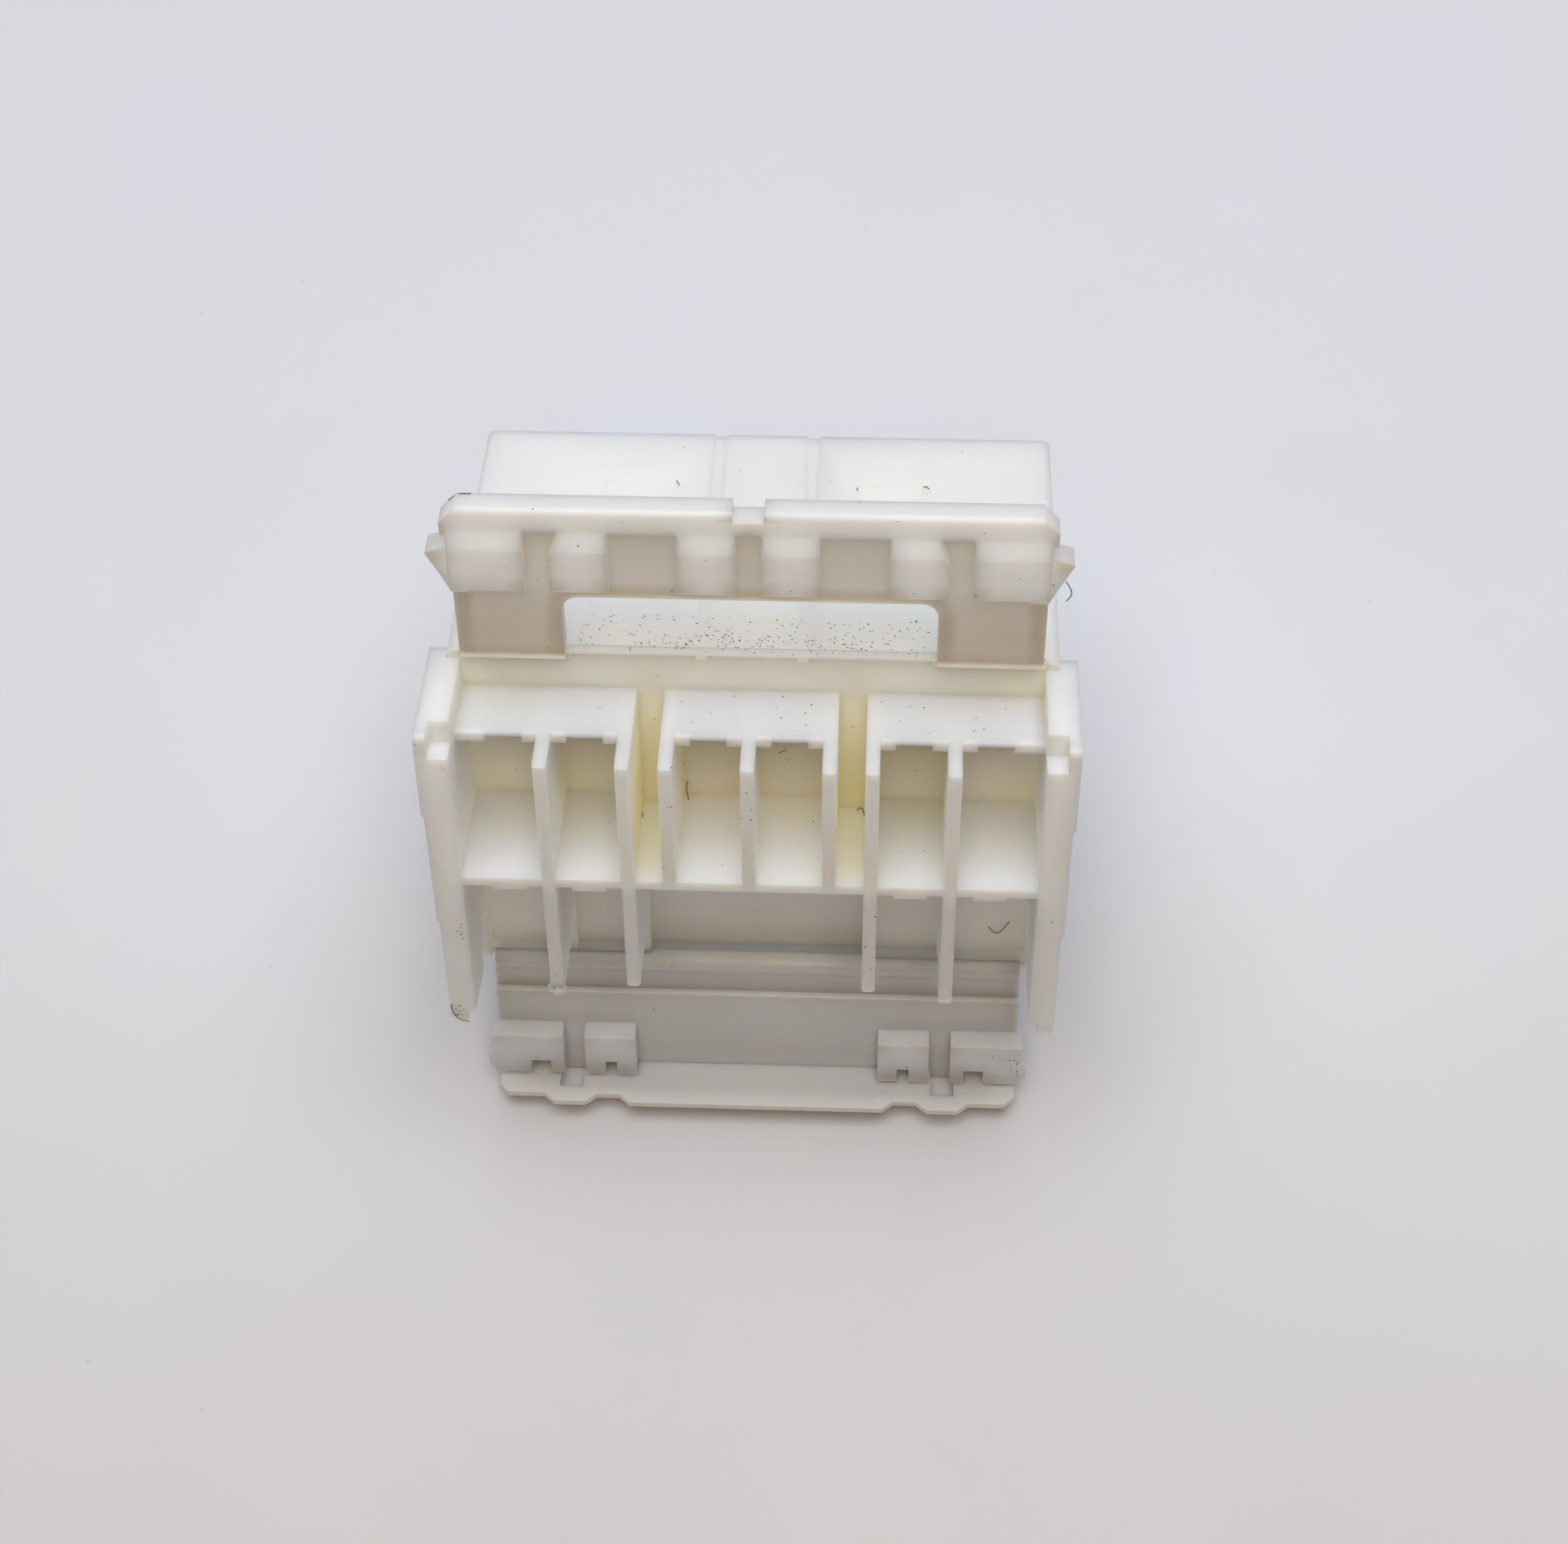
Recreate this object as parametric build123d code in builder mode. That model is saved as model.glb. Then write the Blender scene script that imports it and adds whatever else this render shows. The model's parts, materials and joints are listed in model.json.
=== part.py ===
from build123d import *
import math
import os

# Ten-way connector housing for crimped wires, with an upper and a lower lock plate on
# living hinges. Millimetres. The body's own frame has X across the ways, Y from the wire
# side to the mating face and Z up, with Z = 0 on the cavity ceiling and Y = 0 on the plane
# of both hinges. At the end each piece is turned into the pose in which the part rests.

# Ways and fins
WAY_PITCH = 4.0
GROUP_GAP = 2.1
FIN_WALL = 0.7
FIN_REACH = 6.0
FIN_NOSE = 0.22
CEILING_REACH = 3.6
CEILING_WALL = 0.55
LIP_NOTCH_WIDTH = 1.8
LIP_NOTCH_DEPTH = 0.35

# Rows, as heights in the body's frame
UPPER_HINGE_Z = 2.2
SEPTUM_TOP_Z = -7.9
SEPTUM_WALL = 0.55
SEPTUM_PAD_WIDTH = 1.7
SEPTUM_PAD_DROP = 0.22
INNER_FIN_FOOT_Z = -15.4
OUTER_FIN_FOOT_Z = -16.1
LOWER_HINGE_Z = -19.8
FLOOR_WALL = 0.7

# Body behind the hinges
BODY_HALF_WIDTH = 15.2
BODY_DEPTH = 18.3
BODY_CORNER = 0.5
SIDE_WALL = 0.8
CAVITY_SINK = 0.7
RECESS_SINK = 1.2
RECESS_FLOOR = 0.25
BORE_WIDTH = 2.5
BORE_HEIGHT = 2.9
BORE_DROP = 0.6
MATING_WALL = 1.6
PIN_HOLE = 1.3
PIN_LEAD_IN = 0.35
LANCE_RISE = 0.6
LANCE_LENGTH = 3.2
LANCE_FROM_HINGE = 9.0
GROOVE_X = 2.5
GROOVE_WIDTH = 0.6
GROOVE_DEPTH = 0.3
POCKET_X = 6.5
POCKET_WIDTH = 3.6
POCKET_FROM_HINGE = 5.5
POCKET_LENGTH = 8.5
POCKET_DEPTH = 0.5

# Arms that hold the closed plates
ARM_INNER = 14.5
ARM_WALL = 1.35
ARM_TOP_Z = 1.7
ARM_FOOT_Z = -18.4
ARM_TIP_WIDTH = 3.4
ARM_STEP = 0.13
ARM_UPPER_STEP_Z = -3.5
ARM_LOWER_STEP_Z = -10.9
ARM_ROUND = 0.5

# Lock plates, with lengths counted from the hinge along the plate
PLATE_SIDE_GAP = 0.2
PLATE_WALL = 0.9
HINGE_RADIUS = 0.3
HINGE_GAP = 0.05
STRAP_WIDTH = 5.2
UPPER_OVERHANG = 3.8
LIP_HEIGHT = 1.3
LIP_REACH = 1.3
LIP_ROUND = 0.35
TAB_FOOT = 5.2
TAB_SHOULDER = 7.7
TAB_REACH = 1.75
TAB_CHAMFER = 0.45
TAB_SIDE_GAP = 0.25
WINDOW_HEIGHT = 3.4
WINDOW_FOOT = 0.9
WINDOW_ROUND = 0.85
LIP_GATE_WIDTH = 1.5
LIP_GATE_DEPTH = 0.5
WEDGE_REACH = 1.1
WEDGE_GAP = 0.1
WEDGE_FOOT = 4.8
WEDGE_KNEE = 5.8
WEDGE_CREST = 7.1
WEDGE_HEAD = 7.9

LOWER_OVERHANG = 1.95
SHELF_START = 1.7
SHELF_SET_BACK = 0.4
LOWER_TAB_START = 4.1
LOWER_TAB_END = 7.1
LOWER_TAB_REACH = 2.1
LOWER_TAB_OVERHANG = 0.3
LOWER_WEDGE_REACH = 0.55
LOWER_WEDGE_HEIGHT = 2.0
INNER_NOTCH_WIDTH = 0.65
OUTER_NOTCH_WIDTH = 1.1
OUTER_NOTCH_LEG = 0.75
TAB_NOTCH_HEIGHT = 1.0
FLANGE_WALL = 0.6
FLANGE_REACH = 3.9
FLANGE_SET_BACK = 0.55
FLANGE_MIDDLE = 7.0
FLANGE_TONGUE_X = 10.3
FLANGE_TONGUE_WIDTH = 1.7
FLANGE_SLOPE = 0.6
FLANGE_HOLE_WIDTH = 1.3
FLANGE_HOLE_LENGTH = 1.9

# Places of the fins, worked out from the pitch
middle_fins = [-WAY_PITCH, 0.0, WAY_PITCH]
inner_fin_x = WAY_PITCH + GROUP_GAP
outer_fin_x = inner_fin_x + WAY_PITCH
side_fins = [-outer_fin_x, -inner_fin_x, inner_fin_x, outer_fin_x]
half_fin = FIN_WALL / 2
septum_foot_z = SEPTUM_TOP_Z - SEPTUM_WALL
floor_top_z = LOWER_HINGE_Z + FLOOR_WALL
plate_half = ARM_INNER - PLATE_SIDE_GAP
# Both plates reach past the fins when they are closed
upper_length = FIN_REACH + UPPER_OVERHANG
lower_length = FIN_REACH + LOWER_OVERHANG

# Clear widths between the walls of each way, left to right
side_ways = [
    (-ARM_INNER, -outer_fin_x - half_fin),
    (-outer_fin_x + half_fin, -inner_fin_x - half_fin),
    (inner_fin_x + half_fin, outer_fin_x - half_fin),
    (outer_fin_x + half_fin, ARM_INNER),
]
middle_ways = [
    (-WAY_PITCH + half_fin, -half_fin),
    (half_fin, WAY_PITCH - half_fin),
]
upper_ways = side_ways[:2] + middle_ways + side_ways[2:]
# The outermost ways are wider, and their bore keeps to the pitch
bore_xs_side = [-outer_fin_x - WAY_PITCH / 2, -inner_fin_x - WAY_PITCH / 2]
bore_xs_side += [-x for x in bore_xs_side]
bore_xs_upper = bore_xs_side + [-WAY_PITCH / 2, WAY_PITCH / 2]
upper_bore_z = -CEILING_WALL - BORE_DROP - BORE_HEIGHT / 2
lower_bore_z = septum_foot_z - BORE_DROP - BORE_HEIGHT / 2


def facing(y):
    """Plane across the body at depth y, with X to the right and Z up."""
    return Plane.XZ.offset(-y)


def patch(x_range, z_range, mode=Mode.ADD):
    """Rectangle between two X values and two Z values, in a facing sketch."""
    center = (sum(x_range) / 2, sum(z_range) / 2)
    with Locations(center):
        Rectangle(x_range[1] - x_range[0], z_range[1] - z_range[0], mode=mode)


def near_any(vertex, points):
    """Whether a sketch's vertex stands on one of the points."""
    return any(math.dist((vertex.X, vertex.Y), point) < 1e-3 for point in points)


def side_profile(points, round_points=(), radius=0.0):
    """Closed outline in (Y, Z), with the corners nearest to round_points rounded."""
    outline = Polygon(*points, align=None)
    if round_points:
        corners = outline.vertices().filter_by(lambda v: near_any(v, round_points))
        fillet(corners, radius)


# Housing: the fins, the septum and the arms reach forward from one hollow body
with BuildPart() as housing_form:
    with BuildSketch(facing(0)) as body_face:
        patch((-BODY_HALF_WIDTH, BODY_HALF_WIDTH), (LOWER_HINGE_Z, UPPER_HINGE_Z))
        fillet(body_face.vertices(), BODY_CORNER)
    extrude(amount=-BODY_DEPTH)

    # Pockets of the ways, sunk a little behind the hinge plane
    with BuildSketch(facing(0)):
        for way in upper_ways:
            patch(way, (SEPTUM_TOP_Z, -CEILING_WALL))
        for way in side_ways:
            patch(way, (floor_top_z, septum_foot_z))
    extrude(amount=-CAVITY_SINK, mode=Mode.SUBTRACT)

    # Room in the lower middle for the latch of the mating half
    with BuildSketch(facing(0)):
        recess_half = inner_fin_x - half_fin
        patch((-recess_half, recess_half), (LOWER_HINGE_Z + RECESS_FLOOR, septum_foot_z))
    extrude(amount=-RECESS_SINK, mode=Mode.SUBTRACT)

    # Terminal bores, each closed by the mating wall with its pin hole
    bore_places = [(x, upper_bore_z) for x in bore_xs_upper]
    bore_places += [(x, lower_bore_z) for x in bore_xs_side]
    with BuildSketch(facing(0)):
        with Locations(*bore_places):
            Rectangle(BORE_WIDTH, BORE_HEIGHT)
    extrude(amount=-(BODY_DEPTH - MATING_WALL), mode=Mode.SUBTRACT)
    with BuildSketch(facing(BODY_DEPTH)):
        with Locations(*bore_places):
            Rectangle(PIN_HOLE, PIN_HOLE)
    extrude(amount=MATING_WALL, mode=Mode.SUBTRACT)
    for x, z in bore_places:
        with BuildSketch(facing(BODY_DEPTH)):
            with Locations((x, z)):
                Rectangle(PIN_HOLE + 2 * PIN_LEAD_IN, PIN_HOLE + 2 * PIN_LEAD_IN)
        with BuildSketch(facing(BODY_DEPTH - PIN_LEAD_IN)):
            with Locations((x, z)):
                Rectangle(PIN_HOLE, PIN_HOLE)
        loft(mode=Mode.SUBTRACT)

    # Retaining lance on the floor of every bore
    for x, z in bore_places:
        lance_floor = z - BORE_HEIGHT / 2
        with BuildSketch(Plane.YZ.offset(x - BORE_WIDTH / 4)):
            side_profile([
                (LANCE_FROM_HINGE, lance_floor),
                (LANCE_FROM_HINGE + LANCE_LENGTH, lance_floor),
                (LANCE_FROM_HINGE + LANCE_LENGTH, lance_floor + LANCE_RISE),
            ])
        extrude(amount=BORE_WIDTH / 2)

    # Ceiling of each group, as deep as the closed plate leaves it
    groups = [
        (-ARM_INNER, -inner_fin_x + half_fin),
        (-WAY_PITCH - half_fin, WAY_PITCH + half_fin),
        (inner_fin_x - half_fin, ARM_INNER),
    ]
    for group in groups:
        with BuildSketch(Plane.YZ.offset(group[0])):
            side_profile(
                [(0, 0), (0, -CEILING_WALL), (-CEILING_REACH, -CEILING_WALL), (-CEILING_REACH, 0)],
                [(-CEILING_REACH, 0)],
                CEILING_WALL * 0.6,
            )
        extrude(amount=group[1] - group[0])
    with BuildSketch(facing(-CEILING_REACH)):
        for x in bore_xs_upper:
            patch(
                (x - LIP_NOTCH_WIDTH / 2, x + LIP_NOTCH_WIDTH / 2),
                (-CEILING_WALL, -CEILING_WALL + LIP_NOTCH_DEPTH),
            )
    extrude(amount=-CEILING_REACH / 2, mode=Mode.SUBTRACT)

    # Fins between the ways, with a rounded nose
    fin_feet = [(x, septum_foot_z) for x in middle_fins]
    fin_feet += [(x, INNER_FIN_FOOT_Z) for x in side_fins[1:3]]
    fin_feet += [(x, OUTER_FIN_FOOT_Z) for x in (side_fins[0], side_fins[3])]
    for x, foot_z in fin_feet:
        with BuildSketch(Plane.XY) as fin_plan:
            with Locations((x, -FIN_REACH / 2)):
                Rectangle(FIN_WALL, FIN_REACH)
            fillet(fin_plan.vertices().group_by(Axis.Y)[0], FIN_NOSE)
        extrude(amount=foot_z)

    # Septum between the rows
    with BuildSketch(facing(0)):
        patch((-ARM_INNER, ARM_INNER), (septum_foot_z, SEPTUM_TOP_Z))
    extrude(amount=FIN_REACH - FIN_NOSE)
    with BuildSketch(facing(0)):
        for x in bore_xs_side:
            pad = (x - SEPTUM_PAD_WIDTH / 2, x + SEPTUM_PAD_WIDTH / 2)
            patch(pad, (septum_foot_z - SEPTUM_PAD_DROP, septum_foot_z))
    extrude(amount=FIN_REACH - FIN_NOSE)

    # Arms, stepped on the outside, each with a finger that hangs down at its front
    arm_steps = [
        (ARM_WALL, OUTER_FIN_FOOT_Z),
        (ARM_WALL + ARM_STEP, ARM_LOWER_STEP_Z),
        (ARM_WALL + 2 * ARM_STEP, ARM_UPPER_STEP_Z),
    ]
    finger_length = OUTER_FIN_FOOT_Z - ARM_FOOT_Z
    for side in (-1, 1):
        for wall, step_z in arm_steps:
            with BuildSketch(Plane.YZ.offset(side * ARM_INNER)):
                side_profile(
                    [
                        (SIDE_WALL, ARM_TOP_Z),
                        (-FIN_REACH, ARM_TOP_Z),
                        (-FIN_REACH, step_z),
                        (SIDE_WALL, step_z),
                    ],
                    [(-FIN_REACH, ARM_TOP_Z)],
                    ARM_ROUND,
                )
            extrude(amount=side * wall)
        with BuildSketch(facing(-FIN_REACH)) as finger:
            with Locations((side * (ARM_INNER + ARM_WALL / 2), ARM_FOOT_Z + finger_length / 2)):
                Rectangle(ARM_WALL, finger_length)
            fillet(finger.vertices().group_by(Axis.Y)[0], ARM_ROUND)
        extrude(amount=-ARM_TIP_WIDTH)

    # Room in the arms for the wedges of the closed plates
    wedge_rooms = [
        (plate_half + WEDGE_REACH, (UPPER_HINGE_Z - TAB_REACH, ARM_TOP_Z), WEDGE_FOOT),
        (
            plate_half + LOWER_WEDGE_REACH,
            (ARM_FOOT_Z, LOWER_HINGE_Z + LOWER_TAB_REACH),
            LOWER_TAB_START,
        ),
    ]
    for reach, z_range, start in wedge_rooms:
        room = (z_range[0] - WEDGE_GAP, z_range[1] + WEDGE_GAP)
        for side in (-1, 1):
            inner = side * ARM_INNER
            outer = side * (reach + WEDGE_GAP)
            with BuildSketch(facing(-FIN_REACH)):
                patch((min(inner, outer), max(inner, outer)), room)
            extrude(amount=-(FIN_REACH - start + WEDGE_GAP), mode=Mode.SUBTRACT)

    # Grooves and latch pockets on the top of the body
    with BuildSketch(Plane.XY.offset(UPPER_HINGE_Z)):
        with Locations((-GROOVE_X, BODY_DEPTH / 2), (GROOVE_X, BODY_DEPTH / 2)):
            Rectangle(GROOVE_WIDTH, BODY_DEPTH)
    extrude(amount=-GROOVE_DEPTH, mode=Mode.SUBTRACT)
    pocket_y = POCKET_FROM_HINGE + POCKET_LENGTH / 2
    with BuildSketch(Plane.XY.offset(UPPER_HINGE_Z)):
        with Locations((-POCKET_X, pocket_y), (POCKET_X, pocket_y)):
            Rectangle(POCKET_WIDTH, POCKET_LENGTH)
    extrude(amount=-POCKET_DEPTH, mode=Mode.SUBTRACT)

    # Hollow seats of both living hinges
    seat_radius = HINGE_RADIUS + HINGE_GAP
    strap_center = plate_half - STRAP_WIDTH / 2
    hinge_seats = [(-strap_center, STRAP_WIDTH, UPPER_HINGE_Z), (strap_center, STRAP_WIDTH, UPPER_HINGE_Z)]
    hinge_seats += [(0, 2 * plate_half, LOWER_HINGE_Z)]
    for x, width, z in hinge_seats:
        seat_length = width + 2 * PLATE_SIDE_GAP
        with BuildSketch(Plane.YZ.offset(x - seat_length / 2)):
            with Locations((0, z)):
                Circle(seat_radius)
        extrude(amount=seat_length, mode=Mode.SUBTRACT)


def plate_wall_profile(root_z, upward, front, start, end):
    """Band of a plate's section between two lengths from its hinge."""
    z_from = root_z + upward * start
    z_to = root_z + upward * end
    side_profile([(0, z_from), (0, z_to), (-front, z_to), (-front, z_from)])


neck = HINGE_RADIUS + HINGE_GAP

# Upper lock plate, standing open at a right angle to the ways
with BuildPart() as upper_form:
    with BuildSketch(Plane.YZ.offset(-plate_half)):
        plate_wall_profile(UPPER_HINGE_Z, 1, PLATE_WALL, neck, upper_length)
    extrude(amount=2 * plate_half)
    plate_top = UPPER_HINGE_Z + upper_length
    lip_foot = plate_top - LIP_HEIGHT
    with BuildSketch(Plane.YZ.offset(-plate_half)):
        side_profile(
            [(0, lip_foot), (0, plate_top), (-LIP_REACH, plate_top), (-LIP_REACH, lip_foot)],
            [(-LIP_REACH, plate_top)],
            LIP_ROUND,
        )
    extrude(amount=2 * plate_half)
    with BuildSketch(Plane.YZ.offset(-plate_half)):
        with Locations((0, UPPER_HINGE_Z)):
            Circle(HINGE_RADIUS)
        plate_wall_profile(UPPER_HINGE_Z, 1, HINGE_RADIUS, 0, neck)
    extrude(amount=2 * plate_half)

    # Window between the two hinge straps
    window_foot = UPPER_HINGE_Z + WINDOW_FOOT
    window_head = window_foot + WINDOW_HEIGHT
    window_half = plate_half - STRAP_WIDTH
    with BuildSketch(facing(-PLATE_WALL)) as window:
        patch((-window_half, window_half), (window_foot, window_head))
        fillet(window.vertices(), WINDOW_ROUND)
        bar_gap = (UPPER_HINGE_Z - HINGE_RADIUS, UPPER_HINGE_Z + neck)
        patch((-window_half, window_half), bar_gap)
    extrude(amount=-2 * PLATE_WALL, both=True, mode=Mode.SUBTRACT)

    # Tabs over the ways, which stop just above the fins when the plate is closed
    tab_front_z = UPPER_HINGE_Z + TAB_FOOT
    for way in upper_ways:
        left = -plate_half if way[0] == -ARM_INNER else way[0] + TAB_SIDE_GAP
        right = plate_half if way[1] == ARM_INNER else way[1] - TAB_SIDE_GAP
        with BuildSketch(Plane.YZ.offset(left)):
            side_profile(
                [
                    (-PLATE_WALL / 2, tab_front_z),
                    (-TAB_REACH, tab_front_z),
                    (-TAB_REACH, UPPER_HINGE_Z + TAB_SHOULDER),
                    (-LIP_REACH, lip_foot),
                    (-PLATE_WALL / 2, lip_foot),
                ],
                [(-TAB_REACH, tab_front_z)],
                0.2,
            )
        extrude(amount=right - left)

    # Outer top corners of the second and fifth tab are cut off
    for way, side in ((upper_ways[1], -1), (upper_ways[4], 1)):
        corner_x = (way[0] + TAB_SIDE_GAP) if side < 0 else (way[1] - TAB_SIDE_GAP)
        corner_z = UPPER_HINGE_Z + TAB_SHOULDER
        with BuildSketch(facing(-TAB_REACH)):
            Polygon(
                (corner_x, lip_foot),
                (corner_x, corner_z - TAB_CHAMFER),
                (corner_x - side * TAB_CHAMFER, lip_foot),
                align=None,
            )
        extrude(amount=-(TAB_REACH - PLATE_WALL), mode=Mode.SUBTRACT)

    # Gate notch in the lip
    with BuildSketch(facing(-LIP_REACH)):
        patch((-LIP_GATE_WIDTH / 2, LIP_GATE_WIDTH / 2), (plate_top - LIP_GATE_DEPTH, plate_top))
    extrude(amount=-LIP_REACH, mode=Mode.SUBTRACT)

    # Wedges on both ends that snap into the arms
    for side in (-1, 1):
        with BuildSketch(facing(0)):
            Polygon(
                (side * (plate_half - PLATE_WALL), UPPER_HINGE_Z + WEDGE_FOOT),
                (side * plate_half, UPPER_HINGE_Z + WEDGE_FOOT),
                (side * (plate_half + WEDGE_REACH * 0.4), UPPER_HINGE_Z + WEDGE_KNEE),
                (side * (plate_half + WEDGE_REACH), UPPER_HINGE_Z + WEDGE_CREST),
                (side * (plate_half + WEDGE_REACH * 0.9), UPPER_HINGE_Z + WEDGE_HEAD),
                (side * (plate_half - PLATE_WALL), UPPER_HINGE_Z + WEDGE_HEAD),
                align=None,
            )
        extrude(amount=LIP_REACH)

# Lower lock plate, hanging open below the ways, with a flange that closes the front
with BuildPart() as lower_form:
    with BuildSketch(Plane.YZ.offset(-plate_half)):
        plate_wall_profile(LOWER_HINGE_Z, -1, PLATE_WALL - SHELF_SET_BACK, neck, lower_length)
        plate_wall_profile(LOWER_HINGE_Z, -1, PLATE_WALL, SHELF_START, lower_length)
        with Locations((0, LOWER_HINGE_Z)):
            Circle(HINGE_RADIUS)
        plate_wall_profile(LOWER_HINGE_Z, -1, HINGE_RADIUS, 0, neck)
    extrude(amount=2 * plate_half)

    # Two legged tabs for each pair of lower ways
    tab_top_z = LOWER_HINGE_Z - LOWER_TAB_START
    tab_foot_z = LOWER_HINGE_Z - LOWER_TAB_END
    tab_half = plate_half + LOWER_TAB_OVERHANG
    for way in side_ways:
        left = -tab_half if way[0] == -ARM_INNER else way[0] + TAB_SIDE_GAP
        right = tab_half if way[1] == ARM_INNER else way[1] - TAB_SIDE_GAP
        notch_from = (left + right - INNER_NOTCH_WIDTH) / 2
        notch_to = notch_from + INNER_NOTCH_WIDTH
        if left == -tab_half:
            notch_to = right - OUTER_NOTCH_LEG
            notch_from = notch_to - OUTER_NOTCH_WIDTH
        elif right == tab_half:
            notch_from = left + OUTER_NOTCH_LEG
            notch_to = notch_from + OUTER_NOTCH_WIDTH
        with BuildSketch(facing(-PLATE_WALL / 2)):
            patch((left, right), (tab_foot_z, tab_top_z))
            notch_z = (tab_foot_z, tab_foot_z + TAB_NOTCH_HEIGHT)
            patch((notch_from, notch_to), notch_z, mode=Mode.SUBTRACT)
        extrude(amount=LOWER_TAB_REACH - PLATE_WALL / 2)

    # Flange: set back at its ends and beside its two tongues, with a hole behind each tongue
    flange_top_z = LOWER_HINGE_Z - lower_length + FLANGE_WALL
    shallow = -(FLANGE_REACH - FLANGE_SET_BACK)
    tongue_from = FLANGE_TONGUE_X - FLANGE_TONGUE_WIDTH / 2
    tongue_to = FLANGE_TONGUE_X + FLANGE_TONGUE_WIDTH / 2
    front_half = [
        (0, -FLANGE_REACH),
        (FLANGE_MIDDLE, -FLANGE_REACH),
        (FLANGE_MIDDLE + FLANGE_SLOPE, shallow),
        (tongue_from - FLANGE_SLOPE, shallow),
        (tongue_from, -FLANGE_REACH),
        (tongue_to, -FLANGE_REACH),
        (tongue_to + FLANGE_SLOPE, shallow),
        (plate_half - FLANGE_SLOPE, shallow),
        (plate_half, shallow + FLANGE_SLOPE),
        (plate_half, 0),
    ]
    mirrored_half = [(-x, y) for x, y in reversed(front_half[1:])]
    with BuildSketch(Plane.XY.offset(flange_top_z)):
        Polygon(*front_half, *mirrored_half, align=None)
    extrude(amount=-FLANGE_WALL)
    with BuildSketch(Plane.XY.offset(flange_top_z)):
        hole_y = -PLATE_WALL - FLANGE_HOLE_LENGTH / 2
        with Locations((-FLANGE_TONGUE_X, hole_y), (FLANGE_TONGUE_X, hole_y)):
            Rectangle(FLANGE_HOLE_WIDTH, FLANGE_HOLE_LENGTH)
    extrude(amount=-FLANGE_WALL, mode=Mode.SUBTRACT)

    # Small wedges on both ends
    for side in (-1, 1):
        with BuildSketch(facing(-PLATE_WALL)):
            Polygon(
                (side * (plate_half - PLATE_WALL), tab_foot_z),
                (side * plate_half, tab_foot_z),
                (side * (plate_half + LOWER_WEDGE_REACH), tab_foot_z + LOWER_WEDGE_HEIGHT * 0.3),
                (side * (plate_half + LOWER_WEDGE_REACH), tab_foot_z + LOWER_WEDGE_HEIGHT * 0.7),
                (side * plate_half, tab_foot_z + LOWER_WEDGE_HEIGHT),
                (side * (plate_half - PLATE_WALL), tab_foot_z + LOWER_WEDGE_HEIGHT),
                align=None,
            )
        extrude(amount=LOWER_TAB_REACH - PLATE_WALL)

# Rest: the part leans back until the rear lower edge of the body meets the table
foot_z = LOWER_HINGE_Z - lower_length
lean = math.degrees(math.atan2(LOWER_HINGE_Z - foot_z, BODY_DEPTH + FLANGE_REACH))
leaning = Rot(-lean, 0, 0)
forms = [housing_form, upper_form, lower_form]
reach = Compound([form.part.moved(leaning) for form in forms]).bounding_box()
rest = Pos(0, -(reach.min.Y + reach.max.Y) / 2, -reach.min.Z) * leaning

with BuildPart() as housing:
    add(housing_form.part.moved(rest))
housing.part.label = "housing"

with BuildPart() as upper_lock_plate:
    add(upper_form.part.moved(rest))
upper_lock_plate.part.label = "upper_lock_plate"

with BuildPart() as lower_lock_plate:
    add(lower_form.part.moved(rest))
lower_lock_plate.part.label = "lower_lock_plate"

os.makedirs("parts", exist_ok=True)
export_step(housing.part, "parts/housing.step")
export_step(upper_lock_plate.part, "parts/upper_lock_plate.step")
export_step(lower_lock_plate.part, "parts/lower_lock_plate.step")

for name, z in (("upper", UPPER_HINGE_Z), ("lower", LOWER_HINGE_Z)):
    hinge = (rest * Pos(0, 0, z)).position
    print(f"{name} hinge at Y {hinge.Y:.4f} Z {hinge.Z:.4f}, lean {lean:.3f} degrees")
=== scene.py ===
import json
import math

import bmesh
import bpy
from bpy.props import FloatProperty, FloatVectorProperty, IntProperty, PointerProperty
from mathutils import Matrix, Vector
from mathutils.noise import noise as noise_field


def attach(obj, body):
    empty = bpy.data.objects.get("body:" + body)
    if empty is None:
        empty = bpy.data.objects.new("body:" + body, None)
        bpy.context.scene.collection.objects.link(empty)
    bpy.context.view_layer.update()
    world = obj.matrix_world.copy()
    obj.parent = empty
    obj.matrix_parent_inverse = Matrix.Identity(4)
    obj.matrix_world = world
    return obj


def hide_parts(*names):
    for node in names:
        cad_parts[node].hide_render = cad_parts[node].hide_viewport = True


bl_info = {
    "name": "Ten-way connector housing",
    "version": (1, 0, 0),
    "blender": (4, 5, 0),
    "location": "3D View > Sidebar > Connector",
    "description": "Milky nylon finish, dust and stage for a plug housing with two lock plates",
    "category": "Object",
}

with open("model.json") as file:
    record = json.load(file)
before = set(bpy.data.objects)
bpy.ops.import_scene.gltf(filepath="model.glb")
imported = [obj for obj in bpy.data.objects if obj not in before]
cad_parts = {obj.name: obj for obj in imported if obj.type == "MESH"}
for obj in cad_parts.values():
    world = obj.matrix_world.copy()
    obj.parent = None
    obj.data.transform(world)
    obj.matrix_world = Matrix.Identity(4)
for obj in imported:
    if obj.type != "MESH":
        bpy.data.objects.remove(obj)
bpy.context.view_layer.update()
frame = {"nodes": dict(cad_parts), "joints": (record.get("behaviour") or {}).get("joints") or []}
MM = 0.001

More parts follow.
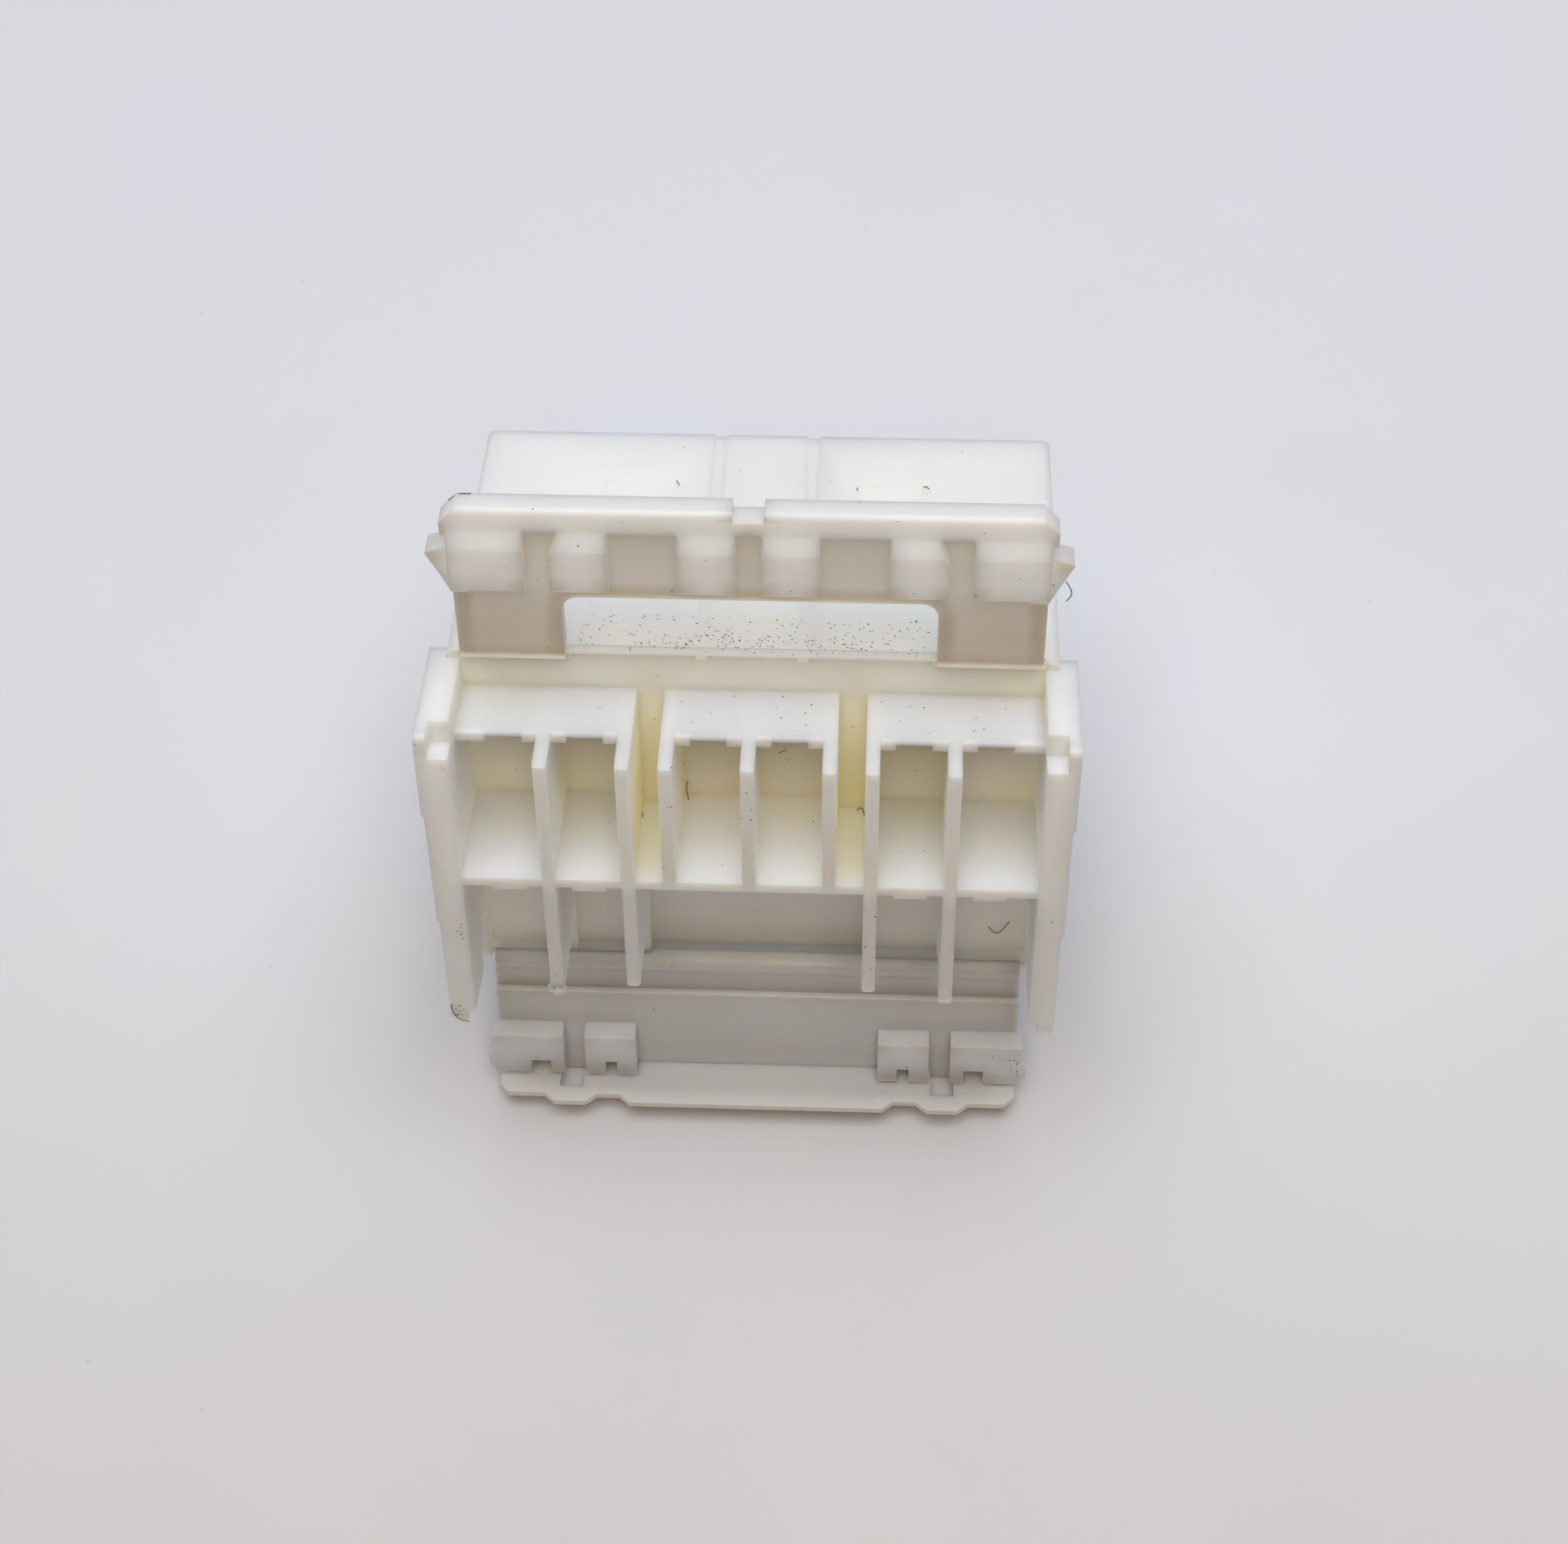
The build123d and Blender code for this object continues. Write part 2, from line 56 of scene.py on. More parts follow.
# The body leans back on the table; both hinges lie on its front plane
HINGES = {joint["name"]: Vector(joint["pos_m"]) for joint in frame["joints"]}
FRONT_UP = (HINGES["upper_plate_hinge"] - HINGES["lower_plate_hinge"]).normalized()
LEAN = math.atan2(FRONT_UP.y, FRONT_UP.z)
HINGE_DROP = 2.2 * MM
CEILING = HINGES["upper_plate_hinge"] - FRONT_UP * HINGE_DROP
# Direction of the forward faces, which take most of the painted shade on thin walls
FRONT_FACING = (0.0, -math.cos(LEAN), math.sin(LEAN))
BODY_TO_ROW = Matrix.Translation(CEILING) @ Matrix.Rotation(-LEAN, 4, "X")

PIECES = {
    "moulded_housing": ("housing", "housing"),
    "moulded_upper_plate": ("upper_lock_plate", "upper_lock_plate"),
    "moulded_lower_plate": ("lower_lock_plate", "lower_lock_plate"),
}

# How the nylon of each moulding looks; the three are copies of one nylon that differ in painted
# glow, painted shade and light, and glow depth.
# warmth: how far a painted honey glow, standing in for light scattered in the nylon, fills its
# recesses
# thinness: how far painted shade greys its thin walls, which let light through
# top_share: share of that painted shade on faces that don't look forward
# shade: factor on the colour of the open surface, as painted light: the upper plate's lifts it, the
# lower plate's darkens and cools it as painted shade for the body's shadow
# foot_share: how far painted shade greys it towards its hinge; 0 leaves out this and the pale hinge
# web
# glow: factor on the glow depth
NYLON_LOOKS = {
    "natural_nylon": {
        "warmth": 1.0,
        "thinness": 0.45,
        "top_share": 0.1,
        "shade": (1.0, 1.0, 1.0),
        "foot_share": 0.0,
        "glow": 1.0,
    },
    # Upper plate: lifted a little as painted light, with more painted shade on its thin walls and
    # foot
    "natural_nylon_plate": {
        "warmth": 0.55,
        "thinness": 1.0,
        "top_share": 0.6,
        "shade": (1.04, 1.05, 1.06),
        "foot_share": 0.35,
        "glow": 1.0,
    },
    # Lower plate: a shaded copy, darker and bluer as painted shade under the body
    "natural_nylon_lower_plate_shaded": {
        "warmth": 0.15,
        "thinness": 0.55,
        "top_share": 0.5,
        "shade": (0.80, 0.84, 0.90),
        "foot_share": 0.0,
        "glow": 0.35,
    },
}

# Noises of the materials: cells for each metre, detail and roughness
CLOUD_NOISE = (260.0, 3.0, 0.55)
SMEAR_NOISE = (120.0, 6.0, 0.7)
GLOSS_NOISE = (900.0, 4.0, 0.55)
GRAIN_NOISE = (2600.0, 5.0, 0.6)
DIRT_NOISE = (1500.0, 2.0, 0.55)
MOTTLE_NOISE = (28.0, 5.0, 0.6)
GRIT_NOISE = (1400.0, 2.0, 0.55)

# Where an effect starts and is full on its source value
# Painted glow: openness at which the painted honey glow starts and at which it is full
PAINTED_GLOW_RANGE = (0.47, 0.06)
# Painted shade: wall openness at which thin walls start to grey and are greyest, and facing at which
# forward faces take it in full
THIN_SHADE_RANGE = (0.82, 0.35)
FORWARD_SHADE_RANGE = (0.45, 0.85)
CLOUD_RANGE = (0.35, 0.75)
STAIN_RANGE = (0.62, 0.80)
GLOSS_RANGE = (0.3, 0.7)
GRIT_RANGE = (0.755, 0.80)
# Painted shade: places in Y between which the table darkens towards the viewer
NEAR_SHADE_RANGE = (10 * MM, -45 * MM)

# How strong an effect is where it is full
CLOUD_SHARE = 0.16
STAIN_SHARE = 0.30
MOTTLE_SHARE = 0.5
GRIT_SHARE = 0.35

# Further values of the surfaces; the nylon's roughness goes from SMOOTHER below its setting to
# ROUGHER above it
OCCLUSION_SAMPLES = 4
CLOUD_COLOR = (0.90, 0.90, 0.90)
# Height over which the hinge web's cream fades into the painted foot shade
WEB_FADE = 0.2 * MM
SMOOTHER = 0.08
ROUGHER = 0.12
NYLON_IOR = 1.53
GLOW_BY_CHANNEL = (1.0, 0.82, 0.55)
BUMP_STRENGTH = 0.12
BUMP_DEPTH = 0.02 * MM
DIRT_BROWN = (0.16, 0.12, 0.09)
DIRT_ROUGHNESS = 0.85
MOTTLE_COLOR = (0.70, 0.685, 0.70)
GRIT_COLOR = (0.38, 0.34, 0.34)
TABLE_ROUGHNESS = 0.8

# Outlines in (X, Z) for the right end of the upper plate, in millimetres in the body's frame,
# and the Y values between which each stands
TOP_CORNER = ((13.6, 12.2), (14.9, 12.2), (14.9, 10.9))
WEDGE_HEAD = ((14.32, 9.75), (14.32, 10.4), (15.9, 10.4), (15.9, 9.3))
LIP_END = ((14.0, 9.0), (14.6, 9.0), (14.6, 11.9), (14.0, 11.9))
THROUGH_PLATE = (1.0, -3.0)
LIP_FACES = (-0.06, -1.24)

# Blocks in millimetres in the body's frame: two values in X, two in Z, two in Y
SILL_CUTS = {
    "sill_cut": (-9.1, 9.1, 2.75, 4.2, 0.3, -1.2),
    "sill_front_cut": (-9.1, 9.1, 2.45, 2.8, -0.45, -1.2),
}
FIN_FEET_CUT = (-5.4, 5.4, -9.3, -8.05, -6.4, -5.78)
FLANGE_CUT = (-15.5, 15.5, -28.2, -27.5, -4.8, -1.0)

# Fillers of the housing, likewise: middles in X, half a width, then two values in Z and two in Y
LIP_FILLERS = ((-12.1, -8.1, -2.0, 2.0, 8.1, 12.1), 0.95, (-0.53, -0.1, -1.6, -3.25))
POCKET_FILLERS = ((-6.5, 6.5), 1.83, (1.6, 2.13, 5.45, 14.05))
GROOVE_MIDDLES = (-2.5, 2.5)
GROOVE_HALF_WIDTH = 0.33
GROOVE_STEPS = ((1.8, 2.185, 0.42, 4.6), (1.8, 2.09, 4.5, 18.25))

# Rod about the lower hinge
WEB_RADIUS = 0.62 * MM
WEB_HALF_LENGTH = 14.25 * MM
LOWER_HINGE_PLACE = (0.0, 0.0, -19.8 * MM)
WEB_SIDES = 48

# Clean-up of the CAD meshes
WELD_GAP = 0.5e-3 * MM
FLAT_ANGLE = math.radians(0.4)
SHARP_ANGLE = math.radians(50)

# Frayed fin foot: middle and radii in millimetres in the body's frame, and its raggedness
TUFT_MIDDLE = (-10.1, -5.75, -15.95)
TUFT_RADII = (0.46, 0.34, 0.42)
TUFT_RAGGEDNESS = 0.35
TUFT_GRAIN = 3.1

# Inputs of the speck tree, and the smallest and largest share of the speck size along a speck's
# three axes
SPECK_INPUTS = {"Geometry": "Geometry", "Density": "Float", "Size": "Float", "Seed": "Int"}
SPECK_SMALLEST = (0.25, 0.25, 0.15)
SPECK_LARGEST = (1.0, 0.7, 0.35)

# Specks strewn over whole mouldings: moulding, share of the density and step of the seed
STREWN = {
    "specks_housing": ("moulded_housing", 0.6, 0),
    "specks_upper_plate": ("moulded_upper_plate", 1.0, 1),
    "specks_lower_plate": ("moulded_lower_plate", 0.6, 2),
}

# Dusty patches: the body that each lies on, its first, second and last corner in millimetres
# in the body's frame, and its specks for each square millimetre
DUSTY = {
    "dust_behind_window": (
        "housing", (-8.6, 0.35, 2.21), (8.8, 0.35, 2.21), (-8.6, 3.0, 2.21), 3.4,
    ),
    "dust_on_window_sill": (
        "upper_lock_plate", (-8.6, -0.42, 2.76), (8.6, -0.42, 2.76), (-8.6, -0.05, 2.76), 5.0,
    ),
    "dust_in_window_foot": (
        "housing", (-6.0, 0.35, 2.21), (6.0, 0.35, 2.21), (-6.0, 1.6, 2.21), 8.0,
    ),
    "dirt_left_arm_foot": (
        "housing", (-15.75, -6.01, -18.0), (-15.1, -6.01, -18.0), (-15.75, -6.01, -17.2), 30.0,
    ),
    "dirt_left_arm": (
        "housing", (-15.1, -6.01, -12.2), (-14.6, -6.01, -12.2), (-15.1, -6.01, -10.8), 12.0,
    ),
    "dust_middle_fin": (
        "housing", (-0.3, -6.01, -7.0), (0.3, -6.01, -7.0), (-0.3, -6.01, -1.0), 1.2,
    ),
    "dust_left_middle_fin": (
        "housing", (-4.3, -6.01, -7.0), (-3.7, -6.01, -7.0), (-4.3, -6.01, -1.0), 0.8,
    ),
    "dust_right_fin": (
        "housing", (5.8, -6.01, -14.9), (6.4, -6.01, -14.9), (5.8, -6.01, -9.0), 1.0,
    ),
    "dust_ceilings": (
        "housing", (-4.0, -3.0, 0.01), (4.0, -3.0, 0.01), (-4.0, -0.3, 0.01), 0.5,
    ),
    "dust_right_ceiling": (
        "housing", (6.2, -3.0, 0.01), (13.5, -3.0, 0.01), (6.2, -0.3, 0.01), 0.4,
    ),
    "dust_right_tab": (
        "lower_lock_plate", (13.0, -2.11, -26.5), (14.5, -2.11, -26.5), (13.0, -2.11, -24.5), 4.0,
    ),
}

# Hairs and a line of grime: the body that each lies on and its points in millimetres in the
# body's frame
HAIRS = {
    "hair_way": (
        "housing",
        [(-3.45, 0.62, -6.9), (-3.55, 0.6, -7.3), (-3.5, 0.5, -7.7), (-3.4, 0.2, -7.85)],
    ),
    "hair_slot_left": (
        "housing",
        [(-6.1, 0.0, -7.75), (-5.9, -0.25, -7.7), (-5.8, -0.6, -7.85), (-5.7, -1.1, -7.86)],
    ),
    "hair_slot_right": (
        "housing",
        [(5.3, -0.25, -7.86), (5.5, -0.2, -7.7), (5.65, -0.3, -7.75), (5.7, -0.6, -7.86)],
    ),
    "hair_lip": (
        "housing",
        [(1.45, -3.66, -0.85), (1.6, -3.7, -0.7), (1.85, -3.68, -0.6)],
    ),
    "hair_curl": (
        "housing",
        [(12.5, 0.66, -17.2), (12.7, 0.6, -17.55), (13.1, 0.55, -17.6), (13.35, 0.6, -17.2),
         (13.6, 0.66, -16.8)],
    ),
    "hair_top_left": (
        "housing",
        [(-4.5, 13.7, 2.22), (-4.45, 13.3, 2.7), (-4.6, 13.0, 3.0), (-4.5, 12.7, 3.3)],
    ),
    "hair_top_middle": (
        "housing",
        [(4.9, 13.8, 2.22), (5.0, 13.4, 2.4), (4.9, 13.1, 2.6)],
    ),
    "hair_top_right": (
        "housing",
        [(8.4, 14.0, 2.22), (8.65, 13.5, 2.6), (8.45, 13.2, 2.9), (8.7, 12.8, 3.0)],
    ),
    "hair_wedge": (
        "upper_lock_plate",
        [(15.0, -1.36, 8.5), (15.3, -1.4, 8.1), (15.35, -1.4, 7.6), (15.1, -1.36, 7.3)],
    ),
    "hair_ledge": (
        "housing",
        [(-4.1, -0.42, -20.7), (-3.95, -0.46, -20.55), (-3.75, -0.42, -20.5)],
    ),
    "grime_arm_tip": (
        "housing",
        [(-15.8, -6.0, -17.2), (-15.75, -6.03, -17.8), (-15.4, -6.05, -18.35),
         (-14.9, -6.05, -18.42)],
    ),
    "hair_edge": (
        "upper_lock_plate",
        [(-14.2, -0.1, 11.62), (-13.9, -0.08, 11.93), (-13.5, -0.1, 12.04), (-13.1, -0.1, 12.03)],
    ),
}

# Lamps: place and size in metres, share of the lamp power and colour; the point that they look
# at, and half the table's width
LAMPS = {
    "ceiling": ((0.02, 0.04, 0.60), 0.5, 1.0, (0.94, 0.98, 1.0)),
    "window": ((-0.02, 0.22, 0.60), 0.7, 0.85, (0.94, 0.98, 1.0)),
    "room": ((0.01, -0.24, 0.50), 0.30, 0.345, (1.0, 0.71, 0.39)),
}
LAMP_TARGET = (0.0, 0.0, 0.015)
TABLE_HALF = 0.6

# The camera's sensor width in millimetres and the nearest that it sees in metres
SENSOR_WIDTH = 36.0
CLIP_START = 0.001


def in_row(x, y, z):
    """A place given in millimetres in the body's own frame, in metres in the row frame."""
    return BODY_TO_ROW @ (Vector((x, y, z)) * MM)


class NylonSettings(bpy.types.PropertyGroup):
    """Colours, painted shade and painted glow, and depth of the natural nylon."""

    lit_color: FloatVectorProperty(
        name="Open surface",
        description="Colour of the nylon where it lies open to the light",
        subtype="COLOR",
        size=3,
        default=(0.86, 0.87, 0.88),
    )
    # Painted glow: honey colour laid into the recesses in place of the warm light that the nylon
    # scatters there
    painted_glow_color: FloatVectorProperty(
        name="Deep recess",
        description="Honey colour that the nylon takes inside its ways",
        subtype="COLOR",
        size=3,
        default=(1.0, 0.905, 0.60),
    )
    stain_color: FloatVectorProperty(
        name="Stain",
        description="Colour of the faint handling stains",
        subtype="COLOR",
        size=3,
        default=(0.50, 0.44, 0.36),
    )
    # Painted shade: greyer, warmer colour laid on thin walls, which let light through, most of all
    # on faces that look forward
    thin_shade_color: FloatVectorProperty(
        name="Thin wall",
        description="Greyer, warmer colour of the thin walls, which let light through",
        subtype="COLOR",
        size=3,
        default=(0.42, 0.345, 0.285),
    )
    wall_reach: FloatProperty(
        name="Wall reach",
        description="How thick a wall may be and still count as thin",
        subtype="DISTANCE",
        default=1.1 * MM,
    )
    # Painted shade: the upper plate greys between these two heights towards its hinge
    foot_shade_top: FloatProperty(
        name="Foot's top",
        description="Height at which the upper plate starts to grey towards its hinge",
        subtype="DISTANCE",
        default=33.5 * MM,
    )
    foot_shade_bottom: FloatProperty(
        name="Foot's bottom",
        description="Height at which the upper plate's foot is greyest",
        subtype="DISTANCE",
        default=30.5 * MM,
    )
    # Below this height the hinge web takes its cream in place of the painted foot and thin-wall
    # shade
    web_top: FloatProperty(
        name="Web's top",
        description="Height up to which the upper plate's hinge web stays pale",
        subtype="DISTANCE",
        default=29.2 * MM,
    )
    # Cream partly the nylon's own and partly painted honey glow, like the housing's riser
    web_color: FloatVectorProperty(
        name="Hinge web",
        description="Cream colour of the upper plate's hinge web",
        subtype="COLOR",
        size=3,
        default=(0.84, 0.82, 0.70),
    )
    recess_reach: FloatProperty(
        name="Recess reach",
        description="How far walls still close a recess in",
        subtype="DISTANCE",
        default=4.5 * MM,
    )
    glow_depth: FloatProperty(
        name="Glow depth",
        description="How deep light wanders in the nylon",
        subtype="DISTANCE",
        default=3.0 * MM,
    )
    roughness: FloatProperty(
        name="Roughness",
        description="Surface roughness of the moulded face",
        subtype="FACTOR",
        default=0.42,
    )


class EdgeSettings(bpy.types.PropertyGroup):
    """Softness of the moulded edges."""

    edge_width: FloatProperty(
        name="Edge width",
        description="Width of the rounding along every moulded edge",
        subtype="DISTANCE",
        default=0.09 * MM,
    )
    edge_segments: IntProperty(
        name="Edge segments",
        description="Steps in the rounding",
        default=2,
        min=1,
        max=4,
    )
    edge_angle: FloatProperty(
        name="Edge angle",
        description="Smallest angle that counts as an edge",
        subtype="ANGLE",
        default=math.radians(28),
    )


class DirtSettings(bpy.types.PropertyGroup):
    """Dust specks and hairs that lie on the part."""

    speck_size: FloatProperty(
        name="Speck size",
        description="Radius of the largest speck",
        subtype="DISTANCE",
        default=0.07 * MM,
    )
    speck_density: FloatProperty(
        name="Speck density",
        description="Specks for each square metre, of which each moulding takes its share",
        default=60000.0,
    )
    speck_seed: IntProperty(name="Seed", description="Fixed seed for the specks", default=7)
    hair_radius: FloatProperty(
        name="Hair radius",
        description="Half the thickness of a hair",
        subtype="DISTANCE",
        default=0.028 * MM,
    )
    dirt_color: FloatVectorProperty(
        name="Dirt colour",
        description="Darkest colour of the specks and hairs",
        subtype="COLOR",
        size=3,
        default=(0.055, 0.045, 0.04),
    )


class StageSettings(bpy.types.PropertyGroup):
    """Table, lamps and camera."""

    table_color: FloatVectorProperty(
        name="Table",
        description="Colour of the pale table",
        subtype="COLOR",
        size=3,
        default=(0.705, 0.73, 0.82),
    )
    # Painted shade: darker, warmer colour that the table takes towards the viewer
    near_shade_color: FloatVectorProperty(
        name="Near table",
        description="Warmer colour that the table takes towards the viewer",
        subtype="COLOR",
        size=3,
        default=(0.61, 0.605, 0.63),
    )
    backdrop_color: FloatVectorProperty(
        name="Backdrop",
        description="Colour of the room behind the table's far edge",
        subtype="COLOR",
        size=3,
        default=(0.50, 0.50, 0.53),
    )
    lamp_power: FloatProperty(
        name="Lamp power",
        description="Power of the ceiling lamp in watts, to which the other lamps keep",
        default=2.12,
    )
    room_glow: FloatProperty(
        name="Room glow",
        description="Strength of the even light from all sides",
        default=0.05,
    )
    view_elevation: FloatProperty(
        name="Elevation",
        description="How steeply the camera looks down, in the body's own frame",
        subtype="ANGLE",
        default=math.radians(43.0),
    )
    view_azimuth: FloatProperty(
        name="Azimuth",
        description="Turn of the camera's look from straight ahead",
        subtype="ANGLE",
        default=math.radians(-2.538),
    )
    view_roll: FloatProperty(
        name="Roll",
        description="Turn of the camera about its own axis",
        subtype="ANGLE",
        default=math.radians(-0.41),
    )
    view_place: FloatVectorProperty(
        name="Camera",
        description="Place of the camera in the body's own frame",
        subtype="TRANSLATION",
        size=3,
        default=(6.282 * MM, -106.762 * MM, 94.134 * MM),
    )
    view_lens: FloatProperty(
        name="Lens",
        description="Focal length in millimetres on a 36 mm wide picture",
        default=65.625,
    )


def linked(name, data):
    """A new object with the given data, linked to the scene."""
    holder = bpy.data.objects.new(name, data)
    bpy.context.scene.collection.objects.link(holder)
    return holder


def finished_mesh(name, work):
    """A new mesh from a working mesh, which is freed."""
    mesh = bpy.data.meshes.new(name)
    work.to_mesh(mesh)
    work.free()
    return mesh


def applied_mesh(holder):
    """A new mesh with all that the object's modifiers or curve settings make of it."""
    depsgraph = bpy.context.evaluated_depsgraph_get()
    return bpy.data.meshes.new_from_object(holder.evaluated_get(depsgraph))


def rgba(color):
    """A colour with full opacity, for a shader socket."""
    return (color[0], color[1], color[2], 1.0)


def new_material(name):
    """A new node material with its nodes, its links, its shader and its coordinates."""
    material = bpy.data.materials.new(name)
    material.use_nodes = True
    nodes = material.node_tree.nodes
    shader = nodes["Principled BSDF"]
    place = nodes.new("ShaderNodeTexCoord")
    return material, nodes, material.node_tree.links, shader, place


def noise(nodes, links, place, scale, detail, roughness):
    """Noise texture on the object's own coordinates."""
    texture = nodes.new("ShaderNodeTexNoise")
    texture.inputs["Scale"].default_value = scale
    texture.inputs["Detail"].default_value = detail
    texture.inputs["Roughness"].default_value = roughness
    links.new(place.outputs["Object"], texture.inputs["Vector"])
    return texture.outputs["Fac"]


def occlusion(nodes, reach, inside=False):
    """How open a point is within a reach, outwards or into the wall."""
    node = nodes.new("ShaderNodeAmbientOcclusion")
    node.samples = OCCLUSION_SAMPLES
    node.inside = inside
    node.inputs["Distance"].default_value = reach
    return node.outputs["AO"]


def along(nodes, links, place, axis):
    """The object's own coordinate along one axis."""
    spot = nodes.new("ShaderNodeSeparateXYZ")
    links.new(place.outputs["Object"], spot.inputs["Vector"])
    return spot.outputs[axis]


def ramp(nodes, links, source, low, high, first=0.0, last=1.0):
    """Straight map of a value from low..high to first..last, clamped."""
    node = nodes.new("ShaderNodeMapRange")
    node.inputs["From Min"].default_value = low
    node.inputs["From Max"].default_value = high
    node.inputs["To Min"].default_value = first
    node.inputs["To Max"].default_value = last
    links.new(source, node.inputs["Value"])
    return node.outputs["Result"]


def mix_color(nodes, links, factor, first, second):
    """Mix of two colours, each a constant or a socket, by a socket."""
    node = nodes.new("ShaderNodeMix")
    node.data_type = "RGBA"
    links.new(factor, node.inputs["Factor"])
    for socket, value in ((node.inputs[6], first), (node.inputs[7], second)):
        if isinstance(value, bpy.types.NodeSocket):
            links.new(value, socket)
        else:
            socket.default_value = rgba(value)
    return node.outputs[2]


def worn_color_and_painted_glow(nodes, links, place, values, look):
    """Colour of the solid nylon: cloudy and lightly stained, with a painted honey glow in its
    recesses in place of the light that the nylon scatters there.
    """
    lit = [channel * part for channel, part in zip(values.lit_color, look["shade"])]
    cloud = noise(nodes, links, place, *CLOUD_NOISE)
    cloudy = ramp(nodes, links, cloud, *CLOUD_RANGE, 0.0, CLOUD_SHARE)
    clouded = mix_color(nodes, links, cloudy, lit, CLOUD_COLOR)
    smear = noise(nodes, links, place, *SMEAR_NOISE)
    stained = ramp(nodes, links, smear, *STAIN_RANGE, 0.0, STAIN_SHARE)
    worn = mix_color(nodes, links, stained, clouded, values.stain_color)
    # Painted glow: the more closed in a point is, the more honey colour it takes
    openness = occlusion(nodes, values.recess_reach)
    depth = ramp(nodes, links, openness, *PAINTED_GLOW_RANGE, 0.0, look["warmth"])
    return mix_color(nodes, links, depth, worn, values.painted_glow_color)


def thin_wall_shade_share(nodes, links, place, values, look):
    """How much painted shade greys a thin wall, most of all on the faces that look forward and take
    less light.
    """
    wall = occlusion(nodes, values.wall_reach, inside=True)
    thin = ramp(nodes, links, wall, *THIN_SHADE_RANGE, 0.0, look["thinness"])
    facing = nodes.new("ShaderNodeVectorMath")
    facing.operation = "DOT_PRODUCT"
    facing.inputs[1].default_value = FRONT_FACING
    links.new(place.outputs["Normal"], facing.inputs[0])
    forward = ramp(nodes, links, facing.outputs["Value"], *FORWARD_SHADE_RANGE, look["top_share"], 1.0)
    painted_thin_shade_node = nodes.new("ShaderNodeMath")
    painted_thin_shade_node.operation = "MULTIPLY"
    links.new(thin, painted_thin_shade_node.inputs[0])
    links.new(forward, painted_thin_shade_node.inputs[1])
    return painted_thin_shade_node.outputs["Value"]


def nylon_material(name, values):
    """Milky natural nylon, satin, with a painted honey glow in its recesses and painted shade where
    it is thin.
    """
    look = NYLON_LOOKS[name]
    material, nodes, links, shader, place = new_material(name)
    # finish holds the nylon's colour with its painted honey glow
    finish = worn_color_and_painted_glow(nodes, links, place, values, look)
    # Painted shade on the thin walls
    painted_thin_shade = thin_wall_shade_share(nodes, links, place, values, look)
    shaded = mix_color(nodes, links, painted_thin_shade, finish, values.thin_shade_color)
    # Painted shade towards the upper plate's hinge, then the hinge web's cream in its place
    if look["foot_share"]:
        height = along(nodes, links, place, "Z")
        foot = ramp(
            nodes, links, height, values.foot_shade_top, values.foot_shade_bottom, 0.0, look["foot_share"]
        )
        shaded = mix_color(nodes, links, foot, shaded, values.thin_shade_color)
        web = ramp(nodes, links, height, values.web_top, values.web_top - WEB_FADE)
        shaded = mix_color(nodes, links, web, shaded, values.web_color)
    links.new(shaded, shader.inputs["Base Color"])

    gloss = noise(nodes, links, place, *GLOSS_NOISE)
    smooth, rough = values.roughness - SMOOTHER, values.roughness + ROUGHER
    links.new(ramp(nodes, links, gloss, *GLOSS_RANGE, smooth, rough), shader.inputs["Roughness"])
    shader.inputs["IOR"].default_value = NYLON_IOR
    shader.inputs["Subsurface Weight"].default_value = 1.0
    shader.inputs["Subsurface Radius"].default_value = GLOW_BY_CHANNEL
    shader.inputs["Subsurface Scale"].default_value = values.glow_depth * look["glow"]

    bump = nodes.new("ShaderNodeBump")
    bump.inputs["Strength"].default_value = BUMP_STRENGTH
    bump.inputs["Distance"].default_value = BUMP_DEPTH
    links.new(noise(nodes, links, place, *GRAIN_NOISE), bump.inputs["Height"])
    links.new(bump.outputs["Normal"], shader.inputs["Normal"])
    return material


def dirt_material(color):
    """Dull dark dust, a little uneven in colour."""
    material, nodes, links, shader, place = new_material("dust_and_hair")
    patch = noise(nodes, links, place, *DIRT_NOISE)
    uneven = mix_color(nodes, links, patch, color, DIRT_BROWN)
    links.new(uneven, shader.inputs["Base Color"])
    shader.inputs["Roughness"].default_value = DIRT_ROUGHNESS
    return material


def table_material(color, near_shade_color):
    """Pale matt table with a faint mottle and grit, and painted shade that makes it darker and
    warmer towards the viewer.
    """
    material, nodes, links, shader, place = new_material("pale_table")
    # Painted shade towards the viewer
    nearness = ramp(nodes, links, along(nodes, links, place, "Y"), *NEAR_SHADE_RANGE)
    ground = mix_color(nodes, links, nearness, color, near_shade_color)
    mottle = noise(nodes, links, place, *MOTTLE_NOISE)
    amount = ramp(nodes, links, mottle, *CLOUD_RANGE, 0.0, MOTTLE_SHARE)
    base = mix_color(nodes, links, amount, ground, MOTTLE_COLOR)
    grit = noise(nodes, links, place, *GRIT_NOISE)
    spots = ramp(nodes, links, grit, *GRIT_RANGE, 0.0, GRIT_SHARE)
    links.new(mix_color(nodes, links, spots, base, GRIT_COLOR), shader.inputs["Base Color"])
    shader.inputs["Roughness"].default_value = TABLE_ROUGHNESS
    return material


def prism(name, outline, from_y, to_y):
    """A closed prism over an (X, Z) outline in the body's frame, as a helper object."""
    work = bmesh.new()
    near = [work.verts.new(in_row(x, from_y, z)) for x, z in outline]
    far = [work.verts.new(in_row(x, to_y, z)) for x, z in outline]
    work.faces.new(near)
    work.faces.new(list(reversed(far)))
    for here in range(len(outline)):
        there = (here + 1) % len(outline)
        work.faces.new((near[there], near[here], far[here], far[there]))
    bmesh.ops.recalc_face_normals(work, faces=work.faces)
    return linked(name, finished_mesh(name, work))


